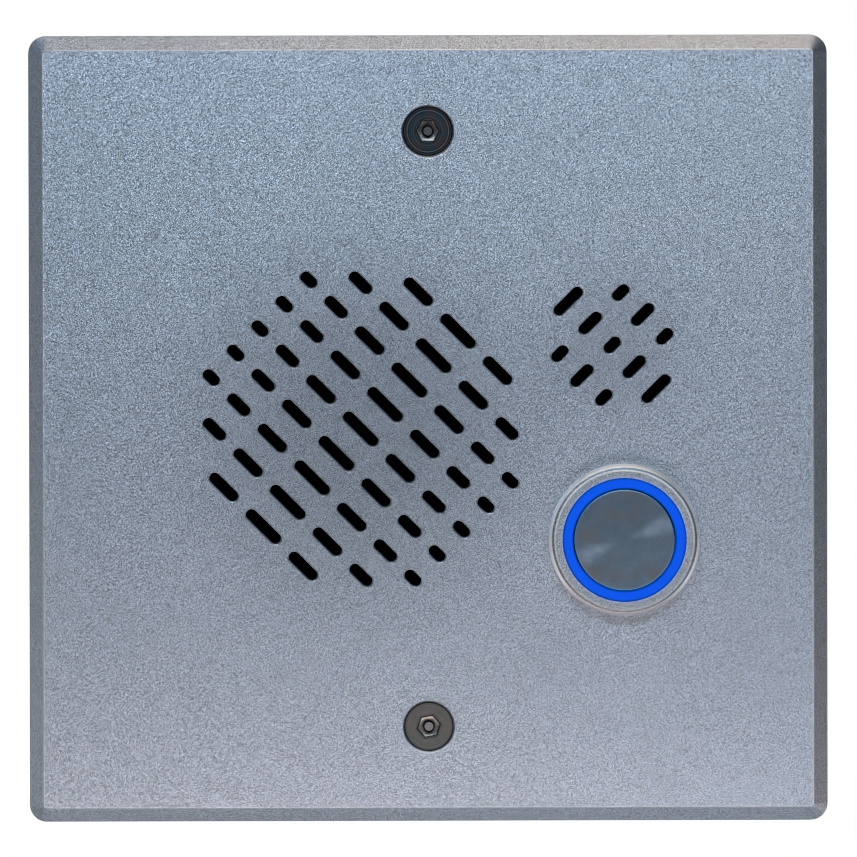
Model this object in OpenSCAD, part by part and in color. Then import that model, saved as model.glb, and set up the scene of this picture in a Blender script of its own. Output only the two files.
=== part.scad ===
// Flush wall intercom: a bevelled metal faceplate with a speaker grille, a microphone grille
// and one illuminated push button, carried on a two-gang wall bracket, with its electronics
// in a sheet-metal can behind the plate.
// The working frame has x to the right, y up and z out of the wall; the wall plane is z = 0.
// wall_frame() turns that frame so that the plate stands upright and faces -Y.

/* [Faceplate] */
// Width of the faceplate
plate_w = 115.8; // [112:0.1:130]
// Height of the faceplate
plate_h = 114; // [111:0.1:130]
// Thickness of the faceplate
plate_t = 4.8; // [4.4:0.1:7]
// Corner radius of the faceplate outline
plate_corner_r = 2.5; // [2.2:0.1:5]
// Width of the bevel round the front edge
plate_bevel = 2.05; // [0.5:0.05:2.1]

/* [Grilles] */
// Width of every sound slot
slot_w = 1.65; // [1.2:0.05:2]
// Length of the shortest sound slot
slot_shortest = 2.8; // [2.4:0.05:3.2]
// Growth in slot length from one size to the next
slot_step = 1.25; // [0.8:0.05:1.4]
// Edge break round the mouth of every slot
slot_edge = 0.18; // [0.05:0.01:0.3]
// Pitch between neighbouring speaker slots
speaker_slot_pitch = 5; // [4:0.1:6]
// Metal left between the ends of speaker slots
speaker_slot_gap = 2.2; // [1.6:0.1:2.6]
// Radius of the circle that the speaker slots fill
speaker_grille_r = 24.7; // [24.3:0.1:25]
// Pitch between neighbouring microphone slots
mic_slot_pitch = 4.5; // [3.6:0.1:4.8]
// Distance between the rows of microphone slots
mic_row_pitch = 6.25; // [5.6:0.05:6.6]

/* [Wall bracket and seal] */
// Thickness of the bracket sheet, and of the seal beside it
bracket_t = 1.6; // [1.2:0.1:2.5]
// Distance between the wall box screws across the box
box_pitch_x = 46.04; // [44:0.01:48]
// Distance between the wall box screws up the box
box_pitch_y = 83.34; // [82:0.01:85]
// Width of the slots for the wall box screws
box_slot_w = 4.2; // [3.8:0.1:4.6]
// Length of the slots for the wall box screws
box_slot_l = 7.2; // [5:0.1:9]
// Depth of the stiffening lips beside the opening
bracket_lip = 5; // [2:0.5:10]
// Width of the seal strip
seal_w = 3.5; // [2.5:0.1:4]
// Distance from the plate edge to the seal
seal_inset = 1.2; // [0.5:0.1:2]

/* [Face screws] */
// Distance between the two face screws
face_screw_pitch = 86.4; // [85:0.1:88]
// Outer thread diameter of a face screw
face_screw_d = 3.5; // [3:0.1:4]
// Head diameter of a face screw
face_head_d = 6.9; // [6.2:0.1:8]
// Length of a face screw
face_screw_l = 12.7; // [11:0.1:16]
// Width across flats of the security socket
face_socket_af = 3; // [2:0.1:3.2]
// Diameter of the pin in the security socket
face_pin_d = 1.3; // [0.8:0.1:1.5]

/* [Speaker] */
// Sideways place of the speaker from the middle of the plate
speaker_x = -9.8; // [-11:0.1:-9]
// Side of the square speaker flange
speaker_side = 51; // [50.5:0.1:52]
// Distance between the speaker screws
speaker_screw_pitch = 43; // [42.5:0.1:43.5]
// Thickness of the acoustic mesh
mesh_t = 0.4; // [0.2:0.1:0.8]
// Thickness of the foam ring in front of the speaker
speaker_foam_t = 1.5; // [1:0.1:3]
// Sheet thickness of the speaker frame
frame_t = 1; // [0.8:0.1:1.2]
// Depth of the speaker basket
basket_depth = 9; // [8.5:0.1:12]
// Radius of the basket mouth
basket_r = 21.5; // [21.3:0.1:22]
// Thickness of the speaker magnet
magnet_t = 6; // [4:0.5:10]
// Radius of the speaker magnet
magnet_r = 16; // [14:0.5:18]
// Radius of the pole in the middle of the magnet
pole_r = 6.05; // [5:0.05:6.5]
// Furthest travel of the cone, each way
cone_travel = 0.5; // [0.2:0.1:0.8]

/* [Microphone] */
// Height of the microphone above the middle of the plate
mic_y = 12.1; // [11.8:0.1:12.6]
// Outer radius of the rubber boot
boot_r = 10.4; // [10:0.1:10.6]
// Depth of the rubber boot
boot_depth = 7; // [6:0.1:10]
// Radius of the microphone capsule
capsule_r = 4.85; // [3:0.05:6]
// Sheet thickness of the strap
strap_t = 1; // [0.6:0.1:1.2]
// Width of the strap
strap_w = 6; // [4:0.1:6.2]

/* [Push button] */
// Sideways place of the button from the middle of the plate
button_x = 28.4; // [28:0.1:28.8]
// Height of the button from the middle of the plate
button_y = -16.1; // [-16.4:0.1:-15.9]
// Radius of the bezel flange
bezel_r = 11; // [10.8:0.05:12]
// Height of the bezel above the plate
bezel_h = 2; // [1.8:0.1:3]
// Radius of the rounding round the bezel
bezel_round = 1; // [0.2:0.1:1.2]
// Outer radius of the thread
barrel_r = 9.5; // [9.5:0.05:9.8]
// Outer radius of the light ring
light_ring_r = 9; // [8.9:0.05:9.2]
// Radius of the moving cap
cap_r = 7.25; // [6.8:0.05:7.3]
// Height of the cap above the bezel
cap_proud = 0.4; // [0:0.1:1]
// Travel of the button
button_travel = 1.6; // [1:0.1:2]
// Width across flats of the nut
nut_af = 22; // [21:0.1:22.5]

/* [Electronics] */
// Width of the sheet-metal can
can_w = 91; // [86:0.1:95]
// Height of the sheet-metal can
can_h = 68.4; // [66:0.1:70]
// Sheet thickness of the can
can_wall = 1; // [0.6:0.1:1.4]
// Thickness of the circuit board
board_t = 1.6; // [1:0.1:2]
// Free height between the deepest front part and the board
board_clear = 4.4; // [4:0.1:10]
// Free height between the board and the can floor
can_floor_clear = 12; // [11.5:0.1:16]
// Distance from the board edge to a board screw
standoff_inset = 3.2; // [3:0.1:3.8]
// Width across flats of the standoffs
standoff_af = 5.5; // [5:0.1:5.6]
// Number of ways in the terminal plug
terminal_ways = 8; // [2:1:8]
// Diameter of the inner wires
wire_d = 1.2; // [0.8:0.1:1.4]

/* [Hidden] */
$fn = 96;
// Clearances: between fixed pieces, for a sliding fit, and past a cut
fit_gap = 0.05;
slide_gap = 0.1;
cut = 1;
m3_r = 1.5;
m25_r = 1.25;
thread_depth = 0.35;

// Levels of the plate
plate_back = bracket_t;
plate_front = plate_back + plate_t;
blind_hole_l = 3.2;
spigot_l = 2.8;

// Places of the screws and grilles
face_screw_places = [[0, face_screw_pitch / 2], [0, -face_screw_pitch / 2]];
face_socket_turns = [0, 11];
face_sinks = [0.2, 0.15];
socket_l = 0.95;
socket_wall_l = 0.5;
pin_sink = 0.15;
box_places = [for (sx = [-1, 1], sy = [-1, 1]) [sx * box_pitch_x / 2, sy * box_pitch_y / 2]];
head_cone = 41;
head_land = 0.15;
head_h = (face_head_d - face_screw_d) / 2 / tan(head_cone);
box_head_room = [4.5, 2.4];

// Can and board
can_gap = 1;
can_r = 2;
can_rim_gap = 0.4;
board_gap = 0.7;
board_w = can_w - 2 * (can_wall + board_gap);
board_h = can_h - 2 * (can_wall + board_gap);
board_right = board_w / 2;
board_left = -board_right;
board_top = board_h / 2;
board_foot = -board_top;
standoff_places = [for (sx = [-1, 1], sy = [-1, 1])
    [sx * (board_right - standoff_inset), sy * (board_top - standoff_inset)]];
standoff_thread_l = 7;
standoff_stud_l = 5;

// Bracket and seal outlines
seal_outer = [plate_w - 2 * seal_inset, plate_h - 2 * seal_inset];
seal_inner = seal_outer - 2 * [seal_w, seal_w];
bracket_gap = 0.5;
bracket_size = seal_inner - 2 * [bracket_gap, bracket_gap];
bracket_open = [can_w, can_h] + 2 * [can_gap, can_gap];
collar_wall = 1.2;
collar_l = 2.4;

// Speaker stack, from the plate backwards
mesh_back = plate_back - mesh_t;
foam_back = mesh_back - speaker_foam_t;
surround_t = 0.3;
rim_front = foam_back - surround_t;
rim_back = rim_front - frame_t;
floor_front = rim_front - basket_depth;
floor_back = floor_front - frame_t;
top_plate_t = 3;
top_plate_back = floor_back - top_plate_t;
magnet_back = top_plate_back - magnet_t;
yoke_t = 3;
speaker_back = magnet_back - yoke_t;
air_gap = 0.3;
coil_former_t = 0.2;
coil_wire_t = 0.4;
former_r = pole_r + air_gap;
coil_r = former_r + coil_former_t + coil_wire_t;
gap_r = coil_r + air_gap;
top_plate_r = magnet_r - 3;
spider_seat = 1.5;
spider_t = 0.4;
spider_r = basket_r - 7.2;
cone_t = 0.5;
cone_r = basket_r - 2.8;
cone_lip = 1.3;
roll_r = 1.2;
neck_z = rim_front - 6;
cap_base_r = former_r + 1.2;
speaker_screw_places = [for (sx = [-1, 1], sy = [-1, 1])
    [speaker_x + sx * speaker_screw_pitch / 2, sy * speaker_screw_pitch / 2]];
speaker_screw_rim = 1.6;
tag_places = [3, -3];
tag_size = [2.6, 0.4, 4.4];
tag_board_t = 1.2;
tag_x = speaker_x - (speaker_side / 2 + basket_r + frame_t) / 2;

// Microphone, beside the speaker flange
mic_gap = 0.6;
mic_x = speaker_x + speaker_side / 2 + mic_gap + boot_r;
mic_mesh_r = boot_r + 0.4;
boot_back = mesh_back - boot_depth;
boot_mouth = 2;
boot_wall = 1.2;
strap_leg = boot_r + 0.5;
strap_hole = strap_leg + strap_t + 2.7;
strap_end = strap_hole + 2.4;
strap_place = [mic_x, mic_y + strap_hole];
strap_window_r = 2.4;
capsule_pin_l = 2;
mic_pin_places = [1.3, -1.3];

// Push button levels, measured from the plate front
lens_seat = 0.3;
lens_wall = 0.05;
led_bore_r = barrel_r - 1.1;
led_seat = -4.4;
guide_r = 5.1;
guide_l = 3;
guide_back = led_seat - guide_l;
chamber_r = barrel_r - 1.5;
collar_t = 1.4;
base_top = guide_back - collar_t - 6.2;
base_plug_l = 3.4;
barrel_back = base_top - base_plug_l;
base_flange_t = 2;
blade_l = 7;
blade_back = barrel_back - base_flange_t - blade_l;
cap_front = bezel_h + cap_proud;
cap_edge = 0.12;
cap_back = led_seat + 0.8 + 0.7 + button_travel + 0.4;
bridge_t = 0.6;
contact_h = 0.75;
bridge_back = base_top + contact_h + button_travel + slide_gap;
terminal_turn = 20;
contact_r = 4;
led_blade_r = 4.5;
spring_wire = 0.7;
spring_r = 6.9;
spring_turns = 4;
spring_ends = 0.02;
nut_t = 3;
washer_t = 0.8;
washer_r = 11.4;
seal_groove = [barrel_r + 0.25, barrel_r + 1.1, 0.8];

// Board level, behind the deepest of the speaker and the switch
front_depth = max(plate_back - speaker_back, plate_back - (plate_front + blade_back));
board_front = plate_back - front_depth - board_clear;
board_back = board_front - board_t;
can_floor = board_back - can_floor_clear;
can_back = can_floor - can_wall;

// Parts on the back of the board, placed from its edges
jack_place = [board_left + 20.8, board_foot + 17.5];
jack_size = [15.2, 13.4, can_floor_clear + can_wall + 2];
jack_shell_t = 0.3;
jack_wall = 1.6;
jack_mouth = [11.8, 6.9];
jack_latch = [[6.2, 1.5], [3.3, 1.4]];
jack_depth = 12;
jack_mouth_y = -1.3;
terminal_place = [board_right - 25.8, board_foot + 14.5];
terminal_pitch = 3.81;
terminal_w = terminal_ways * terminal_pitch;
header_size = [terminal_w + 2.2, 7.4, 9];
header_wall = 0.8;
plug_size = [terminal_w, 10.4, 8.6];
wire_hole = [2.6, 2.6, 6];
light_row_y = board_foot + 5.5;
led_places = [[-6, light_row_y], [0, light_row_y]];
led_r = 1.5;
led_foot = [1.9, 1];
reset_place = [6.5, light_row_y];
reset_travel = 0.25;
reset_base = [6, 6, 3.4];
reset_r = 1.7;
reset_l = 3.6;
reset_well = 1.2;
transformer_place = [board_left + 21.8, board_top - 17.5];
bobbin_size = [15, 12, 10];
core_size = [17, 2.4];
core_levels = [1.5, 9];
capacitor_places = [[15.5, board_top - 23.5], [board_right - 14.8, board_top - 22.5],
    [board_right - 14.8, board_top - 32.5]];
capacitor_r = 4;
capacitor_h = 10.6;
sleeve_roll = 0.4;
relay_place = [board_right - 14.3, board_top - 10];
relay_size = [10, 14.6, 10];
chip_places = [[2, board_top - 32.5], [-2, board_top - 18.5], [14, board_top - 10.5], [0, board_top - 10.5]];
chip_sizes = [[14, 14, 1.4], [9, 9, 1.2], [6, 9, 1.6], [7, 5, 1.6]];
vent_rows = 5;
vent_pitch = 4;
vent_size = [22, 1.8];
vent_place = [0, board_top - 16.5];

// Leads on the front of the board
plug_pitch = 2.5;
plug_h = 8;
plug_base_h = 2.2;
plug_d = 5.6;
speaker_plug = [board_left + 8.8, 0];
mic_plug = [board_right - 9.3, mic_y + 1.8];
button_plug = [button_x - 16.4, button_y];
wire_sides = 8;
wire_rings = 14;

// Turns the working frame upright, with the front of the plate facing -Y
module wall_frame() {
    rotate([90, 0, 0]) children();
}

// Rectangle with round corners, centred
module rounded_rect(size, r) {
    square([size[0] - 2 * r, size[1]], center = true);
    square([size[0], size[1] - 2 * r], center = true);
    for (sx = [-1, 1], sy = [-1, 1])
        translate([sx * (size[0] / 2 - r), sy * (size[1] / 2 - r)]) circle(r);
}

// Slot with round ends, long along x
module slot_shape(l, w) {
    square([l - w, w], center = true);
    for (s = [-1, 1]) translate([s * (l - w) / 2, 0]) circle(d = w);
}

// Flat outline between two levels
module layer(z0, z1) {
    translate([0, 0, z0]) linear_extrude(z1 - z0) children();
}

// Round piece between two levels
module disc(r, z0, z1) {
    translate([0, 0, z0]) cylinder(r = r, h = z1 - z0);
}

// Round piece with a round hole, between two levels
module ring(outer, inner, z0, z1) {
    difference() {
        disc(outer, z0, z1);
        disc(inner, z0 - cut, z1 + cut);
    }
}

// Hexagonal prism between two levels
module hexagon(af, z0, z1, turn = 0) {
    rotate(turn) translate([0, 0, z0]) cylinder(d = af / cos(30), h = z1 - z0, $fn = 6);
}

// Block centred on x and y, between two levels
module block(size, z0, z1) {
    translate([-size[0] / 2, -size[1] / 2, z0]) cube([size[0], size[1], z1 - z0]);
}

// Copies the children to each place in a list of [x, y]
module at_places(places) {
    for (p = places) translate([p[0], p[1], 0]) children();
}

// Slab with its back at z = 0 and a bevel round its front edge
module bevelled_slab(size, t, r, bevel) {
    half = size / 2;
    edge = function (h) [[-h, 0], [h, 0], [h, t - bevel], [h - bevel, t], [bevel - h, t], [-h, t - bevel]];
    rotate([90, 0, 90]) linear_extrude(size[0] - 2 * r, center = true) polygon(edge(half[1]));
    rotate([90, 0, 0]) linear_extrude(size[1] - 2 * r, center = true) polygon(edge(half[0]));
    for (sx = [-1, 1], sy = [-1, 1]) translate([sx * (half[0] - r), sy * (half[1] - r), 0])
        rotate_extrude() polygon([[0, 0], [r, 0], [r, t - bevel], [r - bevel, t], [0, t]]);
}

// Zigzag of thread crests and roots going up from z0 to z1
function thread_points(r, depth, pitch, z0, z1) = let (n = floor((z1 - z0) / pitch))
    [for (i = [0:n - 1], k = [0, 1]) [r - depth * (1 - k), z0 + (i + k / 2) * pitch]];

// Pan-head machine screw whose head bears on z = 0 from behind, with a cross recess
module pan_screw(r, head_r, head_t, l) {
    recess = [head_r * 1.1, head_r * 0.28];
    difference() {
        rotate_extrude() polygon(concat([[0, -head_t], [head_r * 0.72, -head_t], [head_r, -head_t * 0.45],
            [head_r, 0], [r - thread_depth, 0]], thread_points(r, thread_depth, 0.5, 0.1, l - 0.5),
            [[r - thread_depth, l - 0.4], [r - 2 * thread_depth, l], [0, l]]));
        for (a = [0, 90]) rotate(a) block(recess, -head_t - cut, -head_t * 0.4);
    }
}

// Slots of the speaker grille: rows along the slots, shorter away from the middle row
function speaker_slot_l(row) = slot_shortest + slot_step * (3 - abs(row));
function speaker_row_y(row) = row == 0 ? 0 : let (n = abs(row)) sign(row) *
    (abs(speaker_row_y(n - 1)) + (speaker_slot_l(n - 1) + speaker_slot_l(n)) / 2 + speaker_slot_gap);
speaker_slots = [for (row = [-3:3], i = [-5:5])
    let (l = speaker_slot_l(row), along = speaker_row_y(row), across = i * speaker_slot_pitch)
    if (norm([across, abs(along) + l / 2]) < speaker_grille_r) [along, across, l]];

// Slots of the microphone grille: five in the middle row and three on each side of it
mic_slots = [for (row = [-1:1], i = [-2:2]) let (size = row == 0 ? abs(i) : 1 - abs(i))
    if (size >= 0) [row * mic_row_pitch, i * mic_slot_pitch, slot_shortest + slot_step * size]];

// One sound slot cut down through the plate, its mouth broken by a small bevel
module sound_slot(l) {
    r = slot_w / 2;
    low = plate_back - cut;
    high = plate_front + cut;
    mouth = r + slot_edge;
    rotate([90, 0, 90]) linear_extrude(l - slot_w, center = true)
        polygon([[-r, low], [r, low], [r, plate_front - slot_edge], [mouth, plate_front], [mouth, high],
            [-mouth, high], [-mouth, plate_front], [-r, plate_front - slot_edge]]);
    for (s = [-1, 1]) translate([s * (l - slot_w) / 2, 0, 0]) rotate_extrude()
        polygon([[0, low], [r, low], [r, plate_front - slot_edge], [mouth, plate_front],
            [mouth, high], [0, high]]);
}

module faceplate() color("lightsteelblue") wall_frame() difference() {
    translate([0, 0, plate_back])
        bevelled_slab([plate_w, plate_h], plate_t, plate_corner_r, plate_bevel);
    translate([speaker_x, 0, 0]) rotate(-45) for (s = speaker_slots)
        translate([s[0], s[1], 0]) sound_slot(s[2]);
    translate([mic_x, mic_y, 0]) rotate(45) for (s = mic_slots)
        translate([s[0], s[1], 0]) sound_slot(s[2]);
    at_places([[button_x, button_y]]) disc(barrel_r + slide_gap, plate_back - cut, plate_front + cut);
    for (i = [0, 1]) at_places([face_screw_places[i]])
        rotate_extrude() polygon(face_hole_points(plate_front - face_sinks[i]));
    at_places(box_places) layer(plate_back - cut, plate_back + box_head_room[1])
        slot_shape(box_slot_l - box_slot_w + 2 * box_head_room[0], 2 * box_head_room[0]);
    at_places(concat(standoff_places, speaker_screw_places))
        disc(m3_r + fit_gap, plate_back - cut, plate_back + blind_hole_l);
    at_places([strap_place]) disc(m25_r + fit_gap, plate_back - cut, plate_back + blind_hole_l);
}

// Countersunk hole for a face screw whose head top lies at a level, wider than the screw all round
function face_hole_points(seat) = let (r = face_screw_d / 2 + slide_gap, cone_top = seat - head_land,
    mouth = face_head_d / 2 + slide_gap + (plate_front - cone_top) * tan(head_cone))
    [[0, plate_back - cut], [r, plate_back - cut], [r, cone_top - head_h],
    [mouth, plate_front], [mouth, plate_front + cut], [0, plate_front + cut]];

module wall_seal() color("dimgray") wall_frame() layer(0, plate_back) difference() {
    rounded_rect(seal_outer, plate_corner_r);
    square(seal_inner, center = true);
}

module mounting_bracket() color("silver") wall_frame() difference() {
    union() {
        layer(0, bracket_t) difference() {
            rounded_rect(bracket_size, plate_corner_r);
            square(bracket_open, center = true);
            at_places(box_places) slot_shape(box_slot_l, box_slot_w);
        }
        for (s = [-1, 1]) translate([0, s * (bracket_open[1] + bracket_t) / 2, 0])
            block([bracket_open[0] * 0.7, bracket_t], -bracket_lip, bracket_t / 2);
        at_places(face_screw_places) disc(face_screw_d / 2 + fit_gap + collar_wall, -collar_l, bracket_t / 2);
    }
    at_places(face_screw_places) disc(face_screw_d / 2 + fit_gap, -collar_l - cut, bracket_t + cut);
}

// Countersunk security screw with its head top at a level: a hexagonal socket whose floor slopes
// down to the foot of a pin
module face_screw(seat, turn) {
    r = face_screw_d / 2;
    tip = seat - face_screw_l;
    cone_top = seat - head_land;
    neck = cone_top - head_h;
    pin_r = face_pin_d / 2;
    corner_r = face_socket_af / 2 / cos(30);
    difference() {
        rotate_extrude() polygon(concat([[0, tip], [r - 2 * thread_depth, tip]],
            thread_points(r, thread_depth, 0.79, tip + 0.5, neck - 0.2), [[r - thread_depth, neck - 0.1],
            [r, neck], [face_head_d / 2, cone_top], [face_head_d / 2, seat], [0, seat]]));
        difference() {
            hexagon(face_socket_af, seat - socket_l, seat + cut, turn);
            disc(pin_r, seat - socket_l - cut, seat - pin_sink);
            rotate_extrude() polygon([[0, seat - socket_l - cut], [corner_r + cut, seat - socket_l - cut],
                [corner_r + cut, seat - socket_wall_l], [corner_r, seat - socket_wall_l],
                [pin_r, seat - socket_l], [0, seat - socket_l]]);
        }
    }
}

module face_screws() color("darkslategray") wall_frame() for (i = [0, 1])
    at_places([face_screw_places[i]]) face_screw(plate_front - face_sinks[i], face_socket_turns[i]);

// Square outline shared by the speaker flange and what is clamped in front of it, with a rim round
// each screw
module speaker_outline(hole_r) difference() {
    union() {
        translate([speaker_x, 0]) rounded_rect([speaker_side, speaker_side], 4);
        at_places(speaker_screw_places) circle(m3_r + speaker_screw_rim);
    }
    at_places(speaker_screw_places) circle(m3_r + slide_gap);
    if (hole_r > 0) translate([speaker_x, 0]) circle(hole_r);
}

module speaker_mesh() color("black") wall_frame() layer(mesh_back, plate_back) speaker_outline(0);

module speaker_foam_ring() color("dimgray") wall_frame() layer(foam_back, mesh_back)
    speaker_outline(basket_r + 0.5);

module speaker_frame() color("gray") wall_frame() {
    window_h = basket_depth - frame_t - spider_seat - 2.5;
    wall_r = basket_r + frame_t;
    layer(rim_back, rim_front) speaker_outline(basket_r);
    translate([speaker_x, 0, 0]) difference() {
        rotate_extrude() polygon([[basket_r, rim_back], [wall_r, rim_back],
            [spider_r + frame_t, floor_front + spider_seat], [spider_r + frame_t, floor_back],
            [gap_r + 0.6, floor_back], [gap_r + 0.6, floor_front], [spider_r - 2, floor_front],
            [spider_r - 2, floor_front + spider_seat], [spider_r, floor_front + spider_seat]]);
        for (a = [45:90:315]) rotate(a) translate([spider_r + 5, 0, 0])
            block([14, 13], floor_front + spider_seat + 1, floor_front + spider_seat + 1 + window_h);
    }
}

// Rubber roll between the rim and the cone, bowed backwards
module speaker_surround() color("black") wall_frame() translate([speaker_x, 0, 0]) rotate_extrude() {
    mid = cone_r + roll_r;
    translate([mid + roll_r, rim_front]) square([2.6, surround_t]);
    translate([cone_r - 1, rim_front]) square([1, surround_t]);
    intersection() {
        difference() {
            translate([mid, rim_front + surround_t]) circle(roll_r + surround_t / 2);
            translate([mid, rim_front + surround_t]) circle(roll_r - surround_t / 2);
        }
        translate([mid - 2 * roll_r, rim_front + surround_t - 2 * roll_r]) square([4 * roll_r, 2 * roll_r]);
    }
}

module speaker_cone() color("darkslategray") wall_frame() translate([speaker_x, 0, 0]) {
    neck_r = former_r + coil_former_t + fit_gap;
    lip_r = cone_r - cone_lip;
    edge_r = cone_r - 2 * slide_gap;
    rotate_extrude() polygon([[neck_r, neck_z], [neck_r + cone_t, neck_z],
        [lip_r + cone_t, rim_front - cone_t], [edge_r, rim_front - cone_t], [edge_r, rim_front],
        [lip_r, rim_front], [neck_r, neck_z + cone_t]]);
}

// Height of the front of the cone at a radius
function cone_front(r) = let (neck_r = former_r + coil_former_t + fit_gap, lip_r = cone_r - cone_lip)
    neck_z + cone_t + (rim_front - neck_z - cone_t) * (r - neck_r) / (lip_r - neck_r);

module speaker_dust_cap() color("black") wall_frame() translate([speaker_x, 0, cone_front(cap_base_r)]) {
    rise = 2;
    ball = (cap_base_r * cap_base_r + rise * rise) / (2 * rise);
    difference() {
        translate([0, 0, rise - ball]) sphere(ball);
        translate([0, 0, rise - ball]) sphere(ball - 0.3);
        block([3 * ball, 3 * ball], -3 * ball, 0);
    }
}

// Former with its winding, which overhangs the top plate by the cone travel at each end
module speaker_voice_coil() color("peru") wall_frame() translate([speaker_x, 0, 0]) {
    low = top_plate_back - cone_travel;
    high = floor_back + cone_travel;
    skin = former_r + coil_former_t;
    rotate_extrude() polygon([[former_r, low - 0.4], [skin, low - 0.4], [skin, low], [coil_r, low],
        [coil_r, high], [skin, high], [skin, neck_z + cone_t], [former_r, neck_z + cone_t]]);
}

// Corrugated centring disc, a folded ring between the voice coil and its seat in the basket
module speaker_spider() color("goldenrod") wall_frame() translate([speaker_x, 0, floor_front + spider_seat]) {
    inner = former_r + coil_former_t + fit_gap;
    outer = spider_r - 0.2;
    folds = 4;
    width = (outer - 1.4 - inner) / (2 * folds);
    line = [for (i = [0:2 * folds]) [inner + i * width, i % 2 == 1 ? 0.8 : 0]];
    under = concat(line, [[outer, 0]]);
    rotate_extrude() polygon(concat(under,
        [for (i = [len(under) - 1:-1:0]) under[i] + [0, spider_t]]));
}

module speaker_top_plate() color("silver") wall_frame() translate([speaker_x, 0, 0])
    ring(top_plate_r, gap_r, top_plate_back, floor_back);

module speaker_magnet() color("dimgray") wall_frame() translate([speaker_x, 0, 0])
    ring(magnet_r, gap_r + 2, magnet_back, top_plate_back);

module speaker_yoke() color("silver") wall_frame() translate([speaker_x, 0, 0])
    rotate_extrude() polygon([[0, speaker_back], [top_plate_r - 0.6, speaker_back],
        [top_plate_r, speaker_back + 0.6], [top_plate_r, magnet_back], [pole_r, magnet_back],
        [pole_r, floor_back + 0.3], [0, floor_back + 0.3]]);

module speaker_tag_board() color("saddlebrown") wall_frame() translate([tag_x, 0, 0])
    block([2.4, 12], rim_back - tag_board_t, rim_back);

module speaker_tags() color("gold") wall_frame()
    for (y = tag_places) translate([tag_x, y, rim_back - tag_board_t])
        block([tag_size[1], tag_size[0]], -tag_size[2], 0);

module speaker_screws() color("silver") wall_frame() at_places(speaker_screw_places)
    translate([0, 0, rim_back]) pan_screw(m3_r, 2.75, 2, plate_back - rim_back + spigot_l);

module microphone_mesh() color("black") wall_frame() translate([mic_x, mic_y, 0])
    disc(mic_mesh_r, mesh_back, plate_back);

module microphone_boot() color("black") wall_frame() translate([mic_x, mic_y, 0]) {
    shelf = mesh_back - boot_mouth;
    bore = capsule_r + fit_gap;
    rotate_extrude() polygon([[bore, boot_back], [boot_r, boot_back], [boot_r, mesh_back],
        [boot_r - boot_wall, mesh_back], [boot_r - boot_wall, shelf + 0.6], [bore, shelf]]);
}

module microphone_capsule() color("silver") wall_frame() translate([mic_x, mic_y, 0]) {
    face = mesh_back - boot_mouth - 0.2;
    difference() {
        disc(capsule_r, boot_back, face);
        disc(1, face - 0.6, face + cut);
    }
    for (y = mic_pin_places) translate([0, y, 0]) disc(0.4, boot_back - capsule_pin_l, boot_back + 0.2);
}

// Folded strap, screwed down above the boot, that presses the boot against the plate
module microphone_strap() color("silver") wall_frame() difference() {
    foot = plate_back - strap_t;
    bar = boot_back - strap_t;
    translate([mic_x, mic_y, 0]) rotate([90, 0, 90]) linear_extrude(strap_w, center = true) polygon([
        [1 - boot_r, bar], [strap_leg + strap_t, bar], [strap_leg + strap_t, foot], [strap_end, foot],
        [strap_end, plate_back], [strap_leg, plate_back], [strap_leg, boot_back], [1 - boot_r, boot_back]]);
    translate([mic_x, mic_y, 0]) disc(strap_window_r, bar - cut, boot_back + cut);
    at_places([strap_place]) disc(m25_r + slide_gap, foot - cut, plate_back + cut);
}

module microphone_screw() color("silver") wall_frame() at_places([strap_place])
    translate([0, 0, plate_back - strap_t]) pan_screw(m25_r, 2.5, 1.7, strap_t + spigot_l);

// Frame of the push button: x, y on its axis and z from the plate front
module button_frame() wall_frame() translate([button_x, button_y, plate_front]) children();

// Bezel with a rounded edge and threaded barrel, in one turned piece
module button_housing() color("lightsteelblue") button_frame() rotate_extrude() {
    round_r = bezel_r - bezel_round;
    round_z = bezel_h - bezel_round;
    translate([round_r, round_z]) intersection() {
        circle(bezel_round);
        square(bezel_round);
    }
    polygon(concat([[chamber_r, guide_back], [chamber_r, barrel_back], [barrel_r - 0.9, barrel_back]],
        thread_points(barrel_r, 0.5, 1, barrel_back + 0.5, -1.2),
        [[barrel_r - 0.5, -0.6], [barrel_r, -0.4], [barrel_r, 0], [seal_groove[0], 0],
        [seal_groove[0], seal_groove[2]], [seal_groove[1], seal_groove[2]], [seal_groove[1], 0],
        [bezel_r, 0], [bezel_r, round_z], [round_r, round_z], [round_r, bezel_h], [light_ring_r, bezel_h],
        [light_ring_r, lens_seat], [led_bore_r, lens_seat], [led_bore_r, led_seat], [guide_r, led_seat],
        [guide_r, guide_back]]));
}

module button_panel_seal() color("black") button_frame()
    ring(seal_groove[1] - fit_gap, seal_groove[0] + fit_gap, 0, seal_groove[2] - fit_gap);

module button_washer() color("silver") button_frame()
    ring(washer_r, barrel_r + slide_gap, -plate_t - washer_t, -plate_t);

module button_nut() color("silver") button_frame() difference() {
    top = -plate_t - washer_t;
    hexagon(nut_af, top - nut_t, top, 30);
    disc(barrel_r + fit_gap, top - nut_t - cut, top + cut);
}

// Translucent ring with a skirt that carries the light up from the lamps
module button_light_ring() color("royalblue") button_frame() {
    inner = cap_r + 2 * slide_gap;
    outer = light_ring_r - lens_wall;
    skirt = led_bore_r - lens_wall;
    edge = 0.15;
    rotate_extrude() polygon([[inner, led_seat + 1.9], [skirt, led_seat + 1.9], [skirt, lens_seat],
        [outer, lens_seat], [outer, bezel_h - edge], [outer - edge, bezel_h], [inner + edge, bezel_h],
        [inner, bezel_h - edge]]);
}

module button_led_board() color("green") button_frame()
    ring(led_bore_r - fit_gap, guide_r + 0.5, led_seat, led_seat + 0.8);

module button_leds() color("white") button_frame() for (a = [45:90:315]) rotate(a)
    translate([led_bore_r - 0.6, 0, 0]) block([0.8, 1.6], led_seat + 0.8, led_seat + 1.5);

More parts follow.
